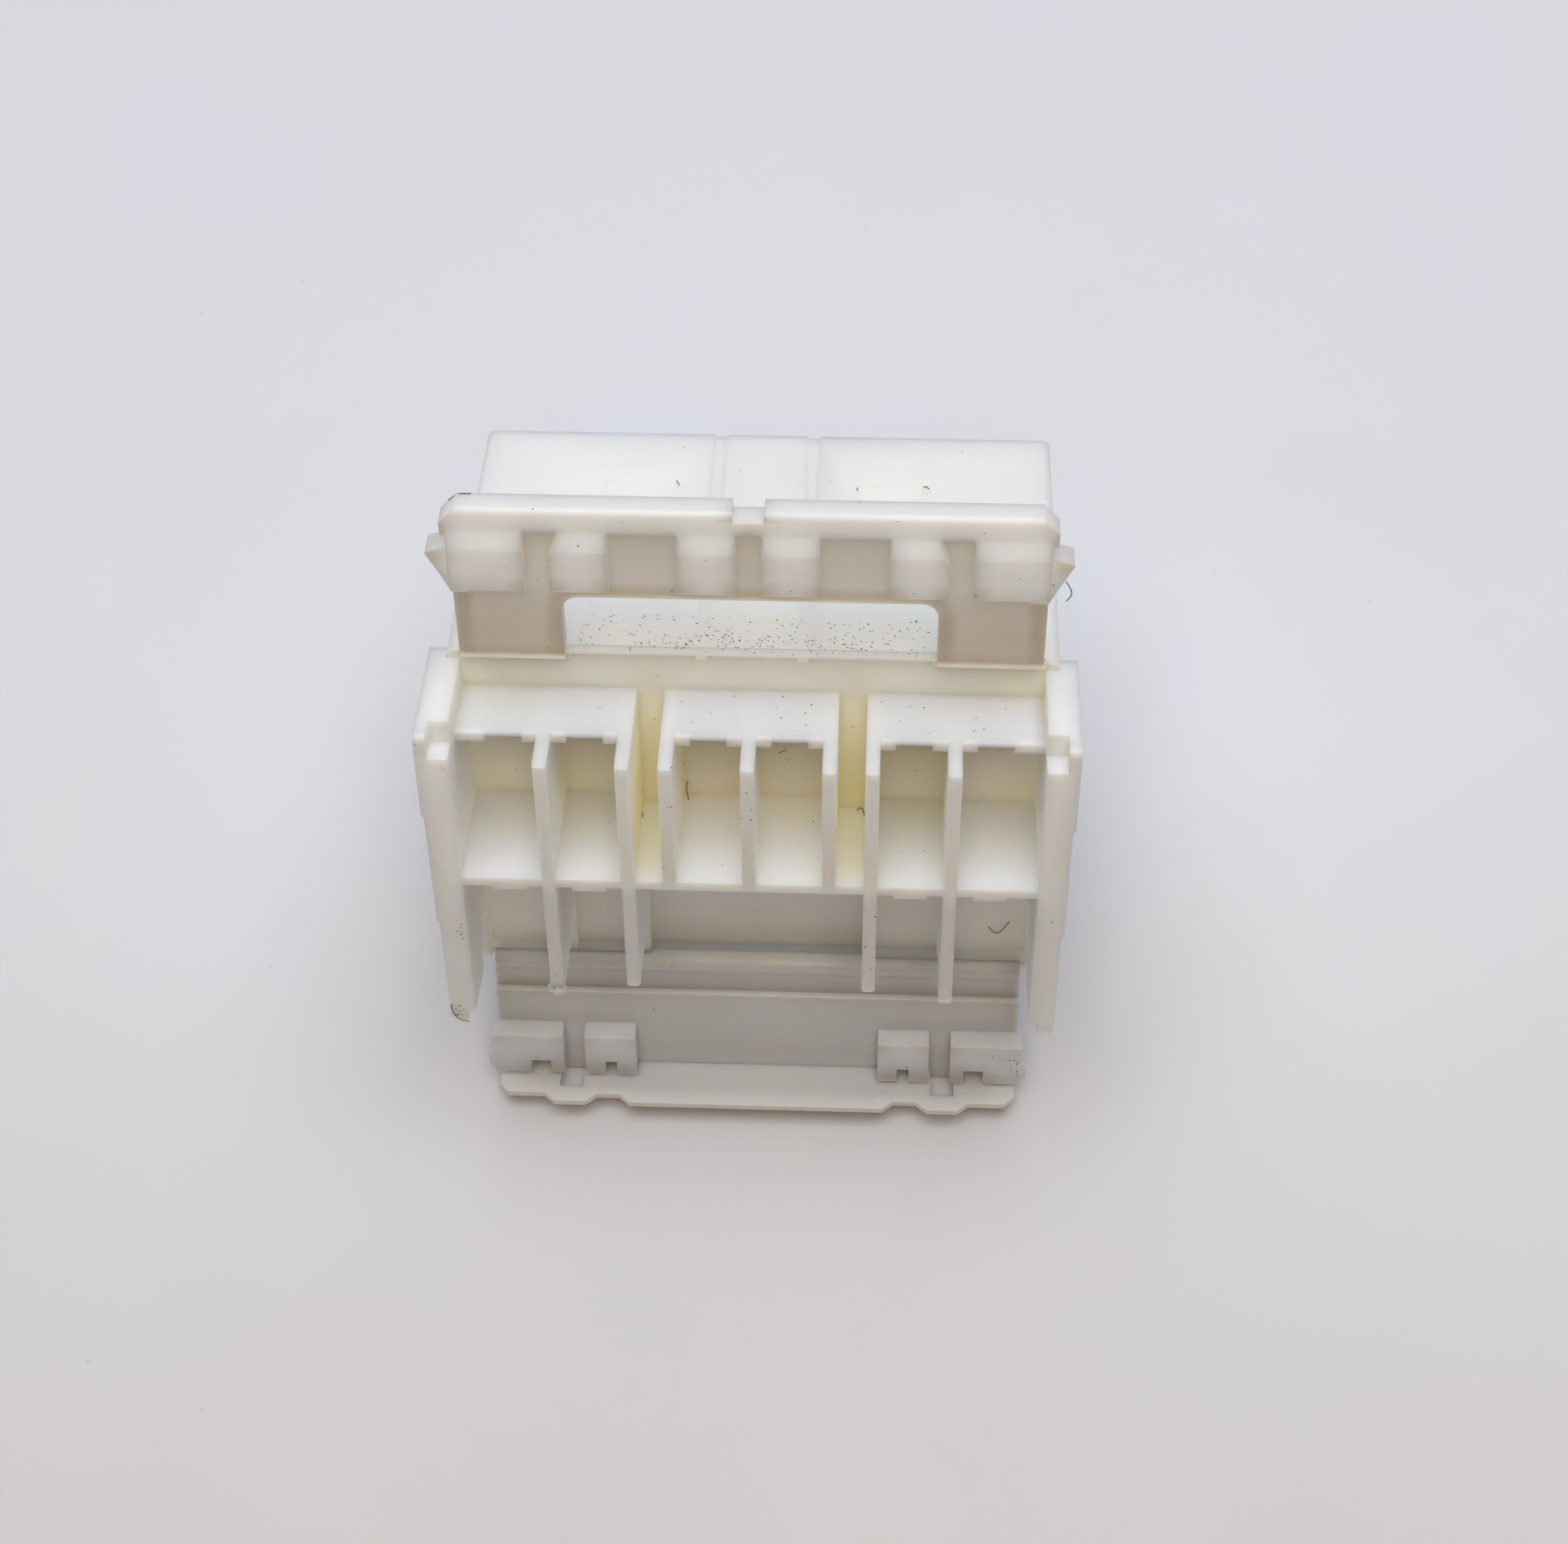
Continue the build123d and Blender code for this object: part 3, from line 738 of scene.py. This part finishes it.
def block(name, from_x, to_x, from_z, to_z, from_y, to_y):
    """An upright block in the body's frame, as a helper object."""
    outline = [(from_x, from_z), (to_x, from_z), (to_x, to_z), (from_x, to_z)]
    return prism(name, outline, from_y, to_y)


def plate_end(name, side, outline, faces):
    """A prism at one end of the upper plate, over an outline given for its right end."""
    return prism(f"{name}_{side}", [(side * x, z) for x, z in outline], *faces)


def blocks_in_row(name, middles, half_width, section):
    """Blocks of one section and width about several middles in X."""
    return [block(f"{name}_{x}", x - half_width, x + half_width, *section) for x in middles]


def lip_ends():
    """Blocks that carry the upper plate's lip out to its full width."""
    return [plate_end("lip_end", side, LIP_END, LIP_FACES) for side in (-1, 1)]


def upper_plate_cuts():
    """Prisms that take off the upper plate's top corners, its wedges' heads and most of its sill."""
    cuts = []
    for side in (-1, 1):
        cuts.append(plate_end("corner_cut", side, TOP_CORNER, THROUGH_PLATE))
        cuts.append(plate_end("wedge_head_cut", side, WEDGE_HEAD, THROUGH_PLATE))
    return cuts + [block(name, *box) for name, box in SILL_CUTS.items()]


def housing_fillers():
    """Blocks that leave the lips' notches, the top's pockets and its grooves shallow."""
    fillers = blocks_in_row("lip_filler", *LIP_FILLERS)
    for middle in GROOVE_MIDDLES:
        for step in GROOVE_STEPS:
            fillers += blocks_in_row("groove_filler", [middle], GROOVE_HALF_WIDTH, step)
    return fillers + blocks_in_row("pocket_filler", *POCKET_FILLERS)


def fin_feet_cut():
    """A block that takes the short fins' feet back to the septum's front edge."""
    return [block("fin_feet_cut", *FIN_FEET_CUT)]


def hinge_web():
    """A rod about the lower hinge, which covers the bead's seat at every angle."""
    work = bmesh.new()
    bmesh.ops.create_cone(
        work,
        cap_ends=True,
        segments=WEB_SIDES,
        radius1=WEB_RADIUS,
        radius2=WEB_RADIUS,
        depth=2 * WEB_HALF_LENGTH,
    )
    lay = BODY_TO_ROW @ Matrix.Translation(LOWER_HINGE_PLACE) @ Matrix.Rotation(math.pi / 2, 4, "Y")
    bmesh.ops.transform(work, matrix=lay, verts=work.verts)
    return [linked("hinge_web", finished_mesh("hinge_web", work))]


def flange_cut():
    """A block that thins the lower plate's flange from below."""
    return [block("flange_cut", *FLANGE_CUT)]


SHAPING = {
    "housing": [(housing_fillers, "UNION"), (fin_feet_cut, "DIFFERENCE")],
    "upper_lock_plate": [(lip_ends, "UNION"), (upper_plate_cuts, "DIFFERENCE")],
    "lower_lock_plate": [(hinge_web, "UNION"), (flange_cut, "DIFFERENCE")],
}


def reshape(piece, helpers, operation):
    """Take helper solids from a piece, or join them to it, and remove them."""
    for helper in helpers:
        change = piece.modifiers.new(helper.name, "BOOLEAN")
        change.operation = operation
        change.solver = "EXACT"
        change.object = helper
    finished = applied_mesh(piece)
    piece.modifiers.clear()
    piece.data = finished
    for helper in helpers:
        bpy.data.objects.remove(helper)


def moulding(node_name, piece_name, edges):
    """The CAD node as one welded mesh with rounded edges, in a new object at the origin."""
    source = frame["nodes"][node_name]
    work = bmesh.new()
    work.from_mesh(source.data)
    bmesh.ops.remove_doubles(work, verts=work.verts, dist=WELD_GAP)
    bmesh.ops.dissolve_limit(
        work, angle_limit=FLAT_ANGLE, verts=work.verts, edges=work.edges, delimit={"NORMAL"}
    )
    piece = linked(piece_name, finished_mesh(piece_name, work))
    for make_helpers, operation in SHAPING[node_name]:
        reshape(piece, make_helpers(), operation)
    rounding = piece.modifiers.new("moulded_edges", "BEVEL")
    rounding.width = edges.edge_width
    rounding.segments = edges.edge_segments
    rounding.limit_method = "ANGLE"
    rounding.angle_limit = edges.edge_angle
    rounding.use_clamp_overlap = True
    rounding.harden_normals = False
    finished = applied_mesh(piece)
    piece.modifiers.clear()
    piece.data = finished
    for polygon in finished.polygons:
        polygon.use_smooth = True
    finished.set_sharp_from_angle(angle=SHARP_ANGLE)
    return piece


def dress(piece_name, material):
    """Replace one CAD node by its dressed moulding."""
    node_name, body = PIECES[piece_name]
    piece = moulding(node_name, piece_name, bpy.context.scene.connector_edges)
    piece.data.materials.clear()
    piece.data.materials.append(material)
    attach(piece, body)
    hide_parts(node_name)


def frayed_foot(material):
    """The outer left fin's foot, where the plastic is frayed into a pale rough tuft."""
    work = bmesh.new()
    bmesh.ops.create_icosphere(work, subdivisions=3, radius=1.0)
    for vert in work.verts:
        swell = 1.0 + TUFT_RAGGEDNESS * noise_field(vert.co * TUFT_GRAIN)
        axes = zip(TUFT_MIDDLE, TUFT_RADII, vert.co)
        vert.co = in_row(*[middle + radius * part * swell for middle, radius, part in axes])
    tuft = linked("frayed_fin_foot", finished_mesh("frayed_fin_foot", work))
    tuft.data.materials.append(material)
    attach(tuft, "housing")


def speck_tree(material):
    """Geometry Nodes tree that strews small flat specks over a mesh."""
    tree = bpy.data.node_groups.new("dust_specks", "GeometryNodeTree")
    for name, kind in SPECK_INPUTS.items():
        tree.interface.new_socket(name, in_out="INPUT", socket_type=f"NodeSocket{kind}")
    tree.interface.new_socket("Geometry", in_out="OUTPUT", socket_type="NodeSocketGeometry")
    nodes = tree.nodes
    links = tree.links
    start = nodes.new("NodeGroupInput")
    end = nodes.new("NodeGroupOutput")
    strew = nodes.new("GeometryNodeDistributePointsOnFaces")
    links.new(start.outputs["Geometry"], strew.inputs["Mesh"])
    links.new(start.outputs["Density"], strew.inputs["Density"])
    links.new(start.outputs["Seed"], strew.inputs["Seed"])
    speck = nodes.new("GeometryNodeMeshIcoSphere")
    speck.inputs["Subdivisions"].default_value = 1
    links.new(start.outputs["Size"], speck.inputs["Radius"])
    spread = nodes.new("FunctionNodeRandomValue")
    spread.data_type = "FLOAT_VECTOR"
    spread.inputs[0].default_value = SPECK_SMALLEST
    spread.inputs[1].default_value = SPECK_LARGEST
    links.new(start.outputs["Seed"], spread.inputs["Seed"])
    copies = nodes.new("GeometryNodeInstanceOnPoints")
    links.new(strew.outputs["Points"], copies.inputs["Points"])
    links.new(strew.outputs["Rotation"], copies.inputs["Rotation"])
    links.new(speck.outputs["Mesh"], copies.inputs["Instance"])
    links.new(spread.outputs[0], copies.inputs["Scale"])
    real = nodes.new("GeometryNodeRealizeInstances")
    links.new(copies.outputs["Instances"], real.inputs["Geometry"])
    paint = nodes.new("GeometryNodeSetMaterial")
    paint.inputs["Material"].default_value = material
    links.new(real.outputs["Geometry"], paint.inputs["Geometry"])
    links.new(paint.outputs["Geometry"], end.inputs["Geometry"])
    return tree


def dusty_patch(name, corners):
    """A flat helper face over a dusty patch, from its first, second and last corner."""
    first, second, last = (in_row(*corner) for corner in corners)
    mesh = bpy.data.meshes.new(f"{name}_patch")
    mesh.from_pydata([first, second, second + last - first, last], [], [(0, 1, 2, 3)])
    return linked(f"{name}_patch", mesh)


def strewn_specks(piece_name, host, tree, dirt, share, seed_step):
    """Specks over the faces of a host mesh, as one plain mesh."""
    field = linked(piece_name, host.data.copy())
    modifier = field.modifiers.new("specks", "NODES")
    modifier.node_group = tree
    sockets = {
        item.name: item.identifier
        for item in tree.interface.items_tree
        if item.in_out == "INPUT"
    }
    modifier[sockets["Density"]] = dirt.speck_density * share
    modifier[sockets["Size"]] = dirt.speck_size
    modifier[sockets["Seed"]] = dirt.speck_seed + seed_step
    specks = applied_mesh(field)
    field.modifiers.clear()
    field.data = specks
    return field


def hair(piece_name, points, radius, material, body):
    """One bent hair as a thin curve turned into a mesh."""
    curve = bpy.data.curves.new(piece_name, "CURVE")
    curve.dimensions = "3D"
    curve.bevel_depth = radius
    curve.bevel_resolution = 1
    curve.use_fill_caps = True
    spline = curve.splines.new("NURBS")
    spline.points.add(len(points) - 1)
    for knot, point in zip(spline.points, points):
        knot.co = (*in_row(*point), 1.0)
    spline.order_u = 3
    spline.use_endpoint_u = True
    carrier = linked(piece_name, curve)
    mesh = applied_mesh(carrier)
    bpy.data.objects.remove(carrier)
    strand = linked(piece_name, mesh)
    mesh.materials.clear()
    mesh.materials.append(material)
    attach(strand, body)


class OBJECT_OT_connector_mouldings(bpy.types.Operator):
    """Dress the housing and both lock plates as milky nylon mouldings"""

    bl_idname = "object.connector_mouldings"
    bl_label = "Nylon mouldings"

    def execute(self, context):
        nylon = context.scene.connector_nylon
        thick = nylon_material("natural_nylon", nylon)
        upper = nylon_material("natural_nylon_plate", nylon)
        lower = nylon_material("natural_nylon_lower_plate_shaded", nylon)
        dress("moulded_housing", thick)
        dress("moulded_upper_plate", upper)
        dress("moulded_lower_plate", lower)
        frayed_foot(thick)
        return {"FINISHED"}


class OBJECT_OT_connector_dust(bpy.types.Operator):
    """Strew dark specks over the mouldings and lay the hairs"""

    bl_idname = "object.connector_dust"
    bl_label = "Dust and hairs"

    def execute(self, context):
        dirt = context.scene.connector_dirt
        material = dirt_material(dirt.dirt_color)
        tree = speck_tree(material)
        for piece_name, (host_name, share, step) in STREWN.items():
            host = bpy.data.objects[host_name]
            specks = strewn_specks(piece_name, host, tree, dirt, share, step)
            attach(specks, PIECES[host_name][1])
        patches = enumerate(DUSTY.items(), start=len(STREWN))
        for step, (piece_name, (body, *corners, count)) in patches:
            patch = dusty_patch(piece_name, corners)
            share = count / MM**2 / dirt.speck_density
            specks = strewn_specks(piece_name, patch, tree, dirt, share, step)
            bpy.data.objects.remove(patch)
            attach(specks, body)
        for piece_name, (body, points) in HAIRS.items():
            hair(piece_name, points, dirt.hair_radius, material, body)
        return {"FINISHED"}


def area_lamp(name, place, size, energy, color):
    """A square soft lamp that looks at the part."""
    lamp = bpy.data.lights.new(name, "AREA")
    lamp.shape = "SQUARE"
    lamp.size = size
    lamp.energy = energy
    lamp.color = color
    holder = linked(name, lamp)
    holder.location = place
    look = Vector(LAMP_TARGET) - Vector(place)
    holder.rotation_euler = look.to_track_quat("-Z", "Y").to_euler()


def room_world(glow, backdrop_color):
    """A faint even light from all sides, with a pale backdrop that only the camera sees."""
    world = bpy.data.worlds.new("soft_room")
    world.use_nodes = True
    nodes = world.node_tree.nodes
    links = world.node_tree.links
    room = nodes["Background"]
    room.inputs["Color"].default_value = (1.0, 1.0, 1.0, 1.0)
    room.inputs["Strength"].default_value = glow
    backdrop = nodes.new("ShaderNodeBackground")
    backdrop.inputs["Color"].default_value = rgba(backdrop_color)
    ray = nodes.new("ShaderNodeLightPath")
    chosen = nodes.new("ShaderNodeMixShader")
    links.new(ray.outputs["Is Camera Ray"], chosen.inputs["Fac"])
    links.new(room.outputs["Background"], chosen.inputs[1])
    links.new(backdrop.outputs["Background"], chosen.inputs[2])
    links.new(chosen.outputs["Shader"], nodes["World Output"].inputs["Surface"])
    return world


def flat_table(stage):
    """The table as one wide flat face at height zero."""
    work = bmesh.new()
    corners = [(-1, -1), (1, -1), (1, 1), (-1, 1)]
    work.faces.new([work.verts.new((x * TABLE_HALF, y * TABLE_HALF, 0)) for x, y in corners])
    table = linked("table", finished_mesh("table", work))
    table.data.materials.append(table_material(stage.table_color, stage.near_shade_color))


def photo_camera(stage):
    """The camera, placed in the body's own frame."""
    camera_data = bpy.data.cameras.new("camera")
    camera_data.sensor_fit = "HORIZONTAL"
    camera_data.sensor_width = SENSOR_WIDTH
    camera_data.lens = stage.view_lens
    camera_data.clip_start = CLIP_START
    camera = linked("camera", camera_data)
    look = Vector((
        math.sin(stage.view_azimuth) * math.cos(stage.view_elevation),
        math.cos(stage.view_azimuth) * math.cos(stage.view_elevation),
        -math.sin(stage.view_elevation),
    ))
    upright = look.to_track_quat("-Z", "Y").to_matrix().to_4x4()
    turned = upright @ Matrix.Rotation(stage.view_roll, 4, "Z")
    camera.matrix_world = BODY_TO_ROW @ Matrix.Translation(stage.view_place) @ turned
    return camera


class OBJECT_OT_connector_stage(bpy.types.Operator):
    """Lay the pale table and set the lamps, the world and the camera"""

    bl_idname = "object.connector_stage"
    bl_label = "Table, lamps and camera"

    def execute(self, context):
        stage = context.scene.connector_stage
        scene = context.scene
        scene.view_settings.view_transform = "Standard"
        flat_table(stage)
        scene.world = room_world(stage.room_glow, stage.backdrop_color)
        for name, (place, size, share, color) in LAMPS.items():
            area_lamp(name, place, size, share * stage.lamp_power, color)
        scene.camera = photo_camera(stage)
        return {"FINISHED"}


class VIEW3D_PT_connector(bpy.types.Panel):
    """Sidebar panel with the add-on's steps and values"""

    bl_label = "Connector housing"
    bl_idname = "VIEW3D_PT_connector"
    bl_space_type = "VIEW_3D"
    bl_region_type = "UI"
    bl_category = "Connector"

    def draw(self, context):
        layout = self.layout
        for group in GROUPS:
            values = getattr(context.scene, group)
            for name in values.__annotations__:
                layout.prop(values, name)
        for operator in OPERATORS:
            layout.operator(operator.bl_idname)


GROUPS = {
    "connector_nylon": NylonSettings,
    "connector_edges": EdgeSettings,
    "connector_dirt": DirtSettings,
    "connector_stage": StageSettings,
}
OPERATORS = (
    OBJECT_OT_connector_mouldings,
    OBJECT_OT_connector_dust,
    OBJECT_OT_connector_stage,
)


def register():
    for name, group in GROUPS.items():
        bpy.utils.register_class(group)
        setattr(bpy.types.Scene, name, PointerProperty(type=group))
    for operator in OPERATORS:
        bpy.utils.register_class(operator)
    bpy.utils.register_class(VIEW3D_PT_connector)


def unregister():
    bpy.utils.unregister_class(VIEW3D_PT_connector)
    for operator in reversed(OPERATORS):
        bpy.utils.unregister_class(operator)
    for name, group in reversed(list(GROUPS.items())):
        delattr(bpy.types.Scene, name)
        bpy.utils.unregister_class(group)


def main():
    register()
    bpy.ops.object.connector_mouldings()
    bpy.ops.object.connector_dust()
    bpy.ops.object.connector_stage()


if __name__ == "__main__":
    main()
